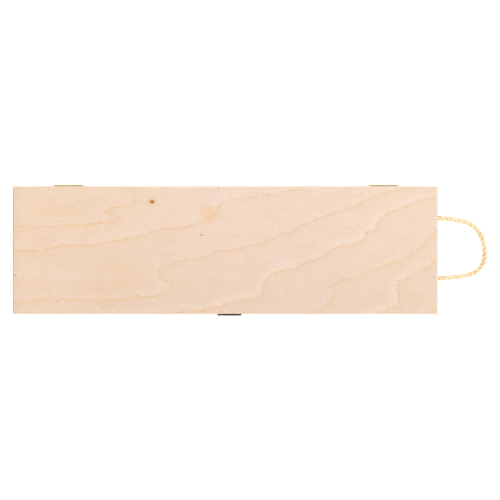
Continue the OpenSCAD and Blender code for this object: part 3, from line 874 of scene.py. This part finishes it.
low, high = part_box("base_panel")
base_panel = sheet("base_panel_sheet", low, high, BASE_GRID,
                   plain_veneer("base_outer_veneer", low.z * 1000,
                                seed=51, ring_gap=30.0, slope=-0.1),
                   plain_veneer("base_inner_veneer", low.z * 1000,
                                seed=61, ring_gap=21.0, slope=0.16),
                   outer_is_top=False)
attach(base_panel, "base")
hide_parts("base_panel")


# ---- Walls and rails ----
# Eight 8 mm boards of pale solid wood, joined at the corners by glued fingers: four walls for
# the base, and four lower rails for the lid. The corners are sanded round after the glue-up,
# and the right wall of the base is drilled for the rope.
CORNER_ROUND = 0.0006
CORNER_FACETS = 4
EASED_EDGE = 0.00015
EASED_FROM = math.radians(40)
SHARP_FROM = math.radians(25)
HOLE_WIDTH = 0.005
HOLE_SIDES = 40
# Axis along the board, number of fingers, which finger comes first, and body
BOARDS = {
    "base_front_wall": ("x", 9, 0, "base"), "base_back_wall": ("x", 9, 0, "base"),
    "base_left_end": ("y", 9, 1, "base"), "base_right_end": ("y", 9, 1, "base"),
    "lid_front_rail": ("x", 3, 0, "lid"), "lid_back_rail": ("x", 3, 0, "lid"),
    "lid_left_end": ("y", 3, 1, "lid"), "lid_right_end": ("y", 3, 1, "lid"),
}
# In mm: a year's growth, and how far behind and below its middle a board's tree has its heart,
# with a rise from each of the four boards of a frame to the next
YEAR = 3.4
HEART_BEHIND = 22.0
HEART_BELOW = 24.0
HEART_RISE = 9.0
FRAME_BOARDS = 4
# Seed of the first board's wood, and how much it grows from each board to the next
BOARD_SEED = 70
SEEDS_APART = 9

WOOD_LIGHT = (243, 220, 190)
WOOD_MEDIUM = (232, 200, 160)
WOOD_LATE = (210, 166, 118)
WOOD_END = (206, 164, 118)

back_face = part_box("base_back_wall")[1].y


def solid_wood(name, along, heart, seed):
    """Solid wood whose growth rings lie round a heart line along X or Y, given in mm on the
    box, so that faces, edges and end grain match."""
    material, tree, surface = new_material(name)
    x, y, z = place_in_mm(tree).parts()
    lengthwise, crosswise = (x, y) if along == "x" else (y, x)
    place = vector(lengthwise, crosswise, z)
    sway = noise(place, (170, 60, 60), seed)
    ripple = noise(place, (30, 5, 5), seed + 1)
    streaks = noise(place, (24, 0.5, 0.5), seed + 2, detail=4, roughness=0.65)
    pores = noise(place, (6, 0.32, 0.32), seed + 3)
    broad = noise(place, (90, 20, 20), seed + 4)
    from_heart = vector(crosswise - heart[0], z - heart[1] + fade(sway, 0.2, 0.8, -16, 16))
    radius = length_of(from_heart) + fade(ripple, 0.2, 0.8, -0.9, 0.9)
    age = radius.math("DIVIDE", YEAR).math("FRACT")
    late = fade(age, 0.35, 0.93) * fade(age, 1, 0.95)
    facing = abs(facing_of(tree)["xy".index(along)])
    colour = layered(
        WOOD_LIGHT,
        (fade(broad, 0.3, 0.75, 0, 0.6), WOOD_MEDIUM),
        (late * 0.42, WOOD_LATE),
        (fade(streaks, 0.35, 0.75, 0, 0.3), WOOD_MEDIUM),
        (fade(pores, 0.6, 0.78, 0, 0.4), WOOD_LATE),
        (fade(facing, 0.6, 0.85, 0, 0.38), WOOD_END),
    )
    finish_wood(surface, colour, streaks)
    return material


def fingered_outline(reach, low, high, fingers, first):
    """Outline of a board with fingers, along its length and its height."""
    share = (high - low) / fingers
    right = []
    for i in range(fingers):
        end = reach if i % 2 == first else reach - WALL
        right += [(end, low + i * share), (end, low + (i + 1) * share)]
    return right + [(-end, height) for end, height in reversed(right)]


def mesh_of(name, shape):
    """The shape as a mesh; the shape itself is given up."""
    mesh = bpy.data.meshes.new(name)
    shape.to_mesh(mesh)
    shape.free()
    return mesh


def cut_board(node, along, fingers, first):
    """The board as it is after sanding, before its holes are drilled."""
    low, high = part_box(node)
    length_axis, depth_axis, reach = (0, 1, outer_face) if along == "x" else (1, 0, back_face)
    inner, outer = sorted((low[depth_axis], high[depth_axis]), key=abs)
    shape = bmesh.new()
    inside, outside = [
        [shape.verts.new((at, depth, height) if along == "x" else (depth, at, height))
         for at, height in fingered_outline(reach, low.z, high.z, fingers, first)]
        for depth in (inner, outer)
    ]
    shape.faces.new(inside)
    shape.faces.new(reversed(outside))
    for k in range(len(inside)):
        shape.faces.new((inside[k - 1], outside[k - 1], outside[k], inside[k]))
    bmesh.ops.recalc_face_normals(shape, faces=shape.faces)
    corners = [edge for edge in shape.edges
               if all(abs(abs(v.co[length_axis]) - reach) < 1e-6
                      and abs(v.co[depth_axis] - outer) < 1e-6 for v in edge.verts)]
    bmesh.ops.bevel(shape, geom=corners, offset=CORNER_ROUND, segments=CORNER_FACETS,
                    profile=0.5, affect="EDGES")
    return mesh_of(node + "_board", shape)


def modify(piece, kind, **settings):
    """Gives the piece a modifier of that kind with those settings."""
    modifier = piece.modifiers.new(kind.lower(), kind)
    for name, value in settings.items():
        setattr(modifier, name, value)


def drill(piece, places, width):
    """Bores a hole along X through the piece at each place."""
    for place in places:
        shape = bmesh.new()
        lying = Matrix.Translation(place) @ Matrix.Rotation(math.pi / 2, 4, "Y")
        bmesh.ops.create_cone(shape, cap_ends=True, segments=HOLE_SIDES, radius1=width / 2,
                              radius2=width / 2, depth=4 * WALL, matrix=lying)
        cutter = new_object("drill", mesh_of("drill", shape))
        modify(piece, "BOOLEAN", object=cutter, solver="EXACT")
        bake(piece)
        bpy.data.objects.remove(cutter)


def ease_edges(piece, width):
    """Takes the sharpness off the piece's edges."""
    modify(piece, "BEVEL", width=width, segments=2, limit_method="ANGLE",
           angle_limit=EASED_FROM)
    bake(piece)
    piece.data.shade_smooth()
    piece.data.set_sharp_from_angle(angle=SHARP_FROM)


for number, (node, (along, fingers, first, body)) in enumerate(BOARDS.items()):
    low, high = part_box(node)
    middle = (low + high) / 2 * 1000
    across = middle.y if along == "x" else middle.x
    heart = (across - math.copysign(HEART_BEHIND, across),
             middle.z - HEART_BELOW + HEART_RISE * (number % FRAME_BOARDS))
    material = solid_wood(node + "_wood", along, heart, BOARD_SEED + SEEDS_APART * number)
    board = new_object(node + "_board", cut_board(node, along, fingers, first), material)
    if node == "base_right_end":
        drill(board, [(inner_face, y, ROPE_HEIGHT) for y in ROPE_HOLES_Y], HOLE_WIDTH)
    ease_edges(board, EASED_EDGE)
    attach(board, body)
    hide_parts(node)


# ---- Hinges ----
# Two small butt hinges stamped from pale brass sheet. The knuckles are rolled round a loose
# pin behind the seam, three on the base leaf and two on the lid leaf.
HINGE_SHEET = 0.00046
LEAF_OUT = 0.00025
LEAF_START = 0.0012
KNUCKLE_RADIUS = 0.001
KNUCKLE_GAP = 0.0002
KNUCKLES = 5
# Angles in degrees between which a knuckle is rolled round its pin, and how many points
# follow it there
KNUCKLE_ROLL = (180, 475, 21)
PLATE_CORNER = 0.0012
CORNER_STEPS = (0.0, 0.12, 0.35, 0.65, 1.0)
METAL_EDGE = 0.00006
# Body of each leaf, which way it points from the seam, and the number of its first knuckle
LEAVES = {"base": ("base", -1, 0), "lid": ("lid", 1, 1)}

BRASS_PALE = (236, 214, 160)
BRASS_WARM = (214, 182, 112)
BRASS_STAIN = (150, 122, 74)


def brass(name, clean, mottled, stain, stained, roughness):
    """Brass sheet with a cloudy stain, fine rolling scratches and dirt on what faces up."""
    material, tree, surface = new_material(name)
    place = place_in_mm(tree)
    clouds = noise(place, (3.4, 3.4, 3.4), 5, detail=5, roughness=0.65)
    specks = noise(place, (0.3, 0.3, 0.3), 6, detail=3)
    scratches = noise(place, (2.4, 0.09, 0.07), 7, detail=3, roughness=0.6)
    dirt = fade(clouds, 0.3, 0.8, 0.1 * stained, stained) + fade(specks, 0.6, 0.8, 0, 0.3)
    dirt = dirt + fade(facing_of(tree)[2], 0.1, 0.8, 0, stained)
    dirt = dirt + fade(scratches, 0.55, 0.75, 0, 0.3 * stained)
    dirt = dirt.math("MINIMUM", 0.95)
    set_inputs(surface, {
        "Metallic": 1, "Normal": bump(scratches, 0.25, 0.00003),
        "Base Color": layered(clean, (fade(clouds, 0.3, 0.7), mottled), (dirt, stain)),
        "Roughness": fade(scratches, 0.3, 0.7, roughness, roughness + 0.12) + dirt * 0.2,
    })
    return material


def arc(out, radius, start, finish, steps):
    """Points round a pin that stands that far out, between two angles in degrees."""
    angles = np.radians(np.linspace(start, finish, steps))
    return [(out + radius * math.cos(a), radius * math.sin(a)) for a in angles]


def corner_drop(x, half_width):
    """How far the rounded corner of a plate has dropped at x."""
    into = max(0, PLATE_CORNER - (half_width - abs(x)))
    return PLATE_CORNER - math.sqrt(PLATE_CORNER**2 - min(into, PLATE_CORNER) ** 2)


def corner_columns(half_width):
    """Places along a plate that follow its two rounded corners."""
    start = [PLATE_CORNER * step - half_width for step in CORNER_STEPS]
    return start + [-x for x in start]


def half_width_of(node):
    low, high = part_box(node)
    return (high.x - low.x) / 2


def bent_sheet(node, columns, way_of, thickness, material, to_box):
    """A node's piece, cut and bent from sheet. Between two neighbouring columns it follows the
    way of (out, up) points that way_of gives for them; to_box puts (x, out, up) on the box."""
    shape = bmesh.new()
    made = {}
    columns = sorted({round(x, 7) for x in columns})
    for left, right in zip(columns, columns[1:]):
        rows = []
        for x in (left, right):
            way = way_of(x, (left + right) / 2)
            for k, (out, up) in enumerate(way):
                if (x, k) not in made:
                    made[x, k] = shape.verts.new(to_box(x, out, up))
            rows.append([made[x, k] for k in range(len(way))])
        for k in range(len(rows[0]) - 1):
            shape.faces.new((rows[0][k], rows[1][k], rows[1][k + 1], rows[0][k + 1]))
    piece = new_object(node + "_sheet", mesh_of(node + "_sheet", shape), material)
    modify(piece, "SOLIDIFY", thickness=thickness, offset=0.0, use_even_offset=True)
    ease_edges(piece, METAL_EDGE)
    return piece


def give_material(node, material):
    """The CAD node keeps its shape and takes that material."""
    for slot in frame["nodes"][node].material_slots:
        slot.material = material


joints = {joint["name"]: joint for joint in frame["joints"]}
_, hinge_axis_y, seam_height = joints["lid_hinge"]["pos_m"]
hinge_brass = brass("pale_brass", BRASS_PALE, BRASS_WARM, BRASS_STAIN,
                    stained=0.2, roughness=0.24)
hinge_roll = arc(hinge_axis_y - back_face, KNUCKLE_RADIUS - HINGE_SHEET / 2, *KNUCKLE_ROLL)


def hinge_leaf(node, upward, first):
    """A leaf with its knuckles; first is the number of its first knuckle."""
    low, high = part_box(node)
    middle, half_width = (low.x + high.x) / 2, half_width_of(node)
    height = max(high.z - seam_height, seam_height - low.z)
    pitch = (2 * half_width + KNUCKLE_GAP) / KNUCKLES
    knuckle_ends = [i * pitch + step - half_width for i in range(KNUCKLES)
                    for step in (0.0, pitch - KNUCKLE_GAP)]

    def way_of(x, column):
        flat = [(LEAF_OUT, height - corner_drop(x, half_width)), (LEAF_OUT, LEAF_START)]
        number, rest = divmod(column + half_width, pitch)
        return flat + hinge_roll if number % 2 == first and rest < pitch - KNUCKLE_GAP else flat

    def on_back(x, out, up):
        return (middle + x, back_face + out, seam_height + upward * up)

    columns = corner_columns(half_width) + knuckle_ends
    return bent_sheet(node, columns, way_of, HINGE_SHEET, hinge_brass, on_back)


for side in ("left", "right"):
    for half, (body, upward, first) in LEAVES.items():
        node = f"{side}_hinge_{half}_leaf"
        leaf = hinge_leaf(node, upward, first)
        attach(leaf, body)
        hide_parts(node)
    give_material(f"{side}_hinge_pin", hinge_brass)


# ---- Clasp ----
# A snap clasp of brass painted darker than the hinges, as painted shade. Its top plate is
# nailed to the lid and carries a hinged flap; the flap's curled lip springs over a ridge pressed
# into the plate on the base.
CLASP_SHEET = 0.00056
CLASP_KNUCKLE_RADIUS = 0.00105
CLASP_ROUND = CLASP_KNUCKLE_RADIUS - CLASP_SHEET / 2
PLATE_OUT = 0.0003
PLATE_START = 0.00125
END_KNUCKLE = 0.0036
RIDGE_BELOW_PIN = 0.011
RIDGE_RISE = 0.00075
RIDGE_LENGTH = 0.01
RIDGE_ENDS = 0.0009
RIDGE_STEPS = (0.0, 0.2, 0.45, 0.7, 1.0)
RIDGE_POINTS = 13
# Angles in degrees between which the plate and the flap lie round the pin, and how many
# points follow them there
PLATE_ROLL = (180, 480, 21)
FLAP_ROLL = (235, 0, 17)
# Heights from the pin between which the flap is flat, and how many points follow it there
FLAP_FLAT = (-0.0012, -0.0088, 4)
FLAP_COLUMNS = 9
# Way of the flap's lip, as (out from the flap's middle, up from the pin)
LIP = [(0.0, -0.0095), (0.0, -0.0103), (-0.00016, -0.0111), (-0.00048, -0.01175),
       (-0.00046, -0.01228), (-0.0001, -0.01254), (0.0003, -0.01246), (0.00052, -0.01212)]
LIP_STEP = 0.0002

# Painted shade: the clasp's brass is a darker, more stained copy of the hinges' brass
SHADED_BRASS_CLEAN = (160, 131, 38)
SHADED_BRASS_WARM = (125, 98, 22)
SHADED_BRASS_STAIN = (58, 44, 3)

clasp_x, clasp_axis_y, clasp_height = joints["clasp_swing"]["pos_m"]
front_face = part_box("base_front_wall")[0].y
clasp_stand = front_face - clasp_axis_y
clasp_brass = brass("aged_brass", SHADED_BRASS_CLEAN, SHADED_BRASS_WARM, SHADED_BRASS_STAIN,
                    stained=0.8, roughness=0.3)
plate_roll = arc(clasp_stand, CLASP_ROUND, *PLATE_ROLL)
plate_half = half_width_of("clasp_lid_plate")
plate_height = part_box("clasp_lid_plate")[1].z - clasp_height
flap_out = clasp_stand + CLASP_ROUND
flap_line = [
    *arc(clasp_stand, CLASP_ROUND, *FLAP_ROLL),
    *[(flap_out, up) for up in np.linspace(*FLAP_FLAT)],
    *[(flap_out + out, up) for out, up in smooth_way(LIP, LIP_STEP)],
]
flap_half = half_width_of("clasp_flap")
catch_low, catch_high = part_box("clasp_catch_plate")
catch_half = half_width_of("clasp_catch_plate")


def on_front(x, out, up):
    return (clasp_x - x, front_face - out, clasp_height + up)


def plate_way(x, column):
    """The lid's plate, with a knuckle at each end."""
    flat = [(PLATE_OUT, plate_height - corner_drop(x, plate_half)), (PLATE_OUT, PLATE_START)]
    return flat + plate_roll if abs(column) > plate_half - END_KNUCKLE else flat


def flap_way(x, column):
    """The flap, the same all the way across."""
    return flap_line


def catch_way(x, column):
    """The base's plate, rounded at its four corners, with its pressed ridge."""
    drop = corner_drop(x, catch_half)
    from_end = (RIDGE_LENGTH / 2 - abs(x)) / RIDGE_ENDS
    swell = RIDGE_RISE * math.sin(math.pi / 2 * min(1.0, max(0.0, from_end)))
    ridge = [(PLATE_OUT + swell * (1 + math.cos(math.pi * turn)) / 2,
              -RIDGE_BELOW_PIN - turn * RIDGE_RISE) for turn in np.linspace(-1, 1, RIDGE_POINTS)]
    return [(PLATE_OUT, catch_high.z - clasp_height - drop), *ridge,
            (PLATE_OUT, catch_low.z - clasp_height + drop)]


plate_columns = [*corner_columns(plate_half), END_KNUCKLE - plate_half, plate_half - END_KNUCKLE]
ridge_columns = [side * (RIDGE_LENGTH / 2 - step * RIDGE_ENDS)
                 for side in (-1, 1) for step in RIDGE_STEPS]
clasp_sheets = {
    "clasp_lid_plate": ("lid", plate_columns, plate_way),
    "clasp_flap": ("clasp_flap", np.linspace(-flap_half, flap_half, FLAP_COLUMNS), flap_way),
    "clasp_catch_plate": ("base", corner_columns(catch_half) + ridge_columns, catch_way),
}
for node, (body, columns, way_of) in clasp_sheets.items():
    piece = bent_sheet(node, columns, way_of, CLASP_SHEET, clasp_brass, on_front)
    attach(piece, body)
    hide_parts(node)
give_material("clasp_pin", clasp_brass)


# ---- Nails ----
# Twelve small round-headed brass nails, driven through the leaves of the hinges and the
# plates of the clasp into the wood, none of them quite straight.
NAIL_HEAD = 0.0028
NAIL_HEAD_HEIGHT = 0.00045
NAIL_UNDERSIDE = -0.1
NAIL_SHARP_FROM = math.radians(40)
TO_BACK = (-math.pi / 2, 0.0, 0.0)
TO_FRONT = (math.pi / 2, 0.0, 0.0)
NAILED = {
    **{f"{side}_hinge_{body}_nails": (body, TO_BACK, hinge_brass, "bright_brass")
       for side in ("left", "right") for body in ("base", "lid")},
    "clasp_lid_nails": ("lid", TO_FRONT, clasp_brass, "aged_brass"),
    "clasp_catch_nails": ("base", TO_FRONT, clasp_brass, "aged_brass"),
}
NAIL_VALUES = {
    "Head Width": NAIL_HEAD, "Head Height": NAIL_HEAD_HEIGHT, "Shank Width": 0.0012,
    "Depth": 0.006, "Point Length": 0.0012, "Lean": math.radians(2.5), "Turn": TO_BACK,
    "Seed": 0, "Material": hinge_brass,
}

nails, given = new_geometry_tree("round_headed_nails", NAIL_VALUES)
ball = add_node(nails, "GeometryNodeMeshUVSphere", {"Segments": 32, "Rings": 16, "Radius": 1.0})
x, y, z = add_node(nails, "GeometryNodeInputPosition").parts()
head_radius = given["Head Width"] * 0.5
dome = z.math("MAXIMUM", NAIL_UNDERSIDE) * given["Head Height"]
head = add_node(nails, "GeometryNodeSetPosition",
                {"Geometry": ball, "Position": vector(x * head_radius, y * head_radius, dome)})
shank_radius = given["Shank Width"] * 0.5
straight = given["Depth"] - given["Point Length"]
shank = add_node(nails, "GeometryNodeMeshCylinder",
                 {"Vertices": 16, "Radius": shank_radius, "Depth": straight})
shank = add_node(nails, "GeometryNodeTransform",
                 {"Geometry": shank, "Translation": vector(0.0, 0.0, straight * -0.5)})
point = add_node(nails, "GeometryNodeMeshCone", {
    "Vertices": 16, "Radius Top": 0.0, "Radius Bottom": shank_radius,
    "Depth": given["Point Length"],
})
point = add_node(nails, "GeometryNodeTransform", {
    "Geometry": point, "Translation": vector(0.0, 0.0, straight * -1.0),
    "Rotation": (math.pi, 0.0, 0.0),
})
lean, lean_back = given["Lean"], given["Lean"] * -1.0
driven = planted(given["Geometry"], join(head, shank, point), given["Turn"], (1.0, 1.0, 1.0),
                 least_turn=vector(lean_back, lean_back),
                 most_turn=vector(lean, lean, 2 * math.pi), seed=given["Seed"])
end_tree(driven, given["Material"])

for number, (node, (body, turn, material, slot)) in enumerate(NAILED.items()):
    low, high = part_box(node)
    seat = high.y - NAIL_HEAD_HEIGHT if turn == TO_BACK else low.y + NAIL_HEAD_HEIGHT
    height = (low.z + high.z) / 2
    places = [(x, seat, height) for x in (low.x + NAIL_HEAD / 2, high.x - NAIL_HEAD / 2)]
    mesh = bpy.data.meshes.new(node + "_driven")
    mesh.from_pydata(places, [], [])
    piece = new_object(node + "_driven", mesh)
    grow(piece, nails, {**NAIL_VALUES, "Turn": turn, "Seed": number, "Material": material})
    piece.data.shade_smooth()
    piece.data.set_sharp_from_angle(angle=NAIL_SHARP_FROM)
    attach(piece, body)
    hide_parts(node)
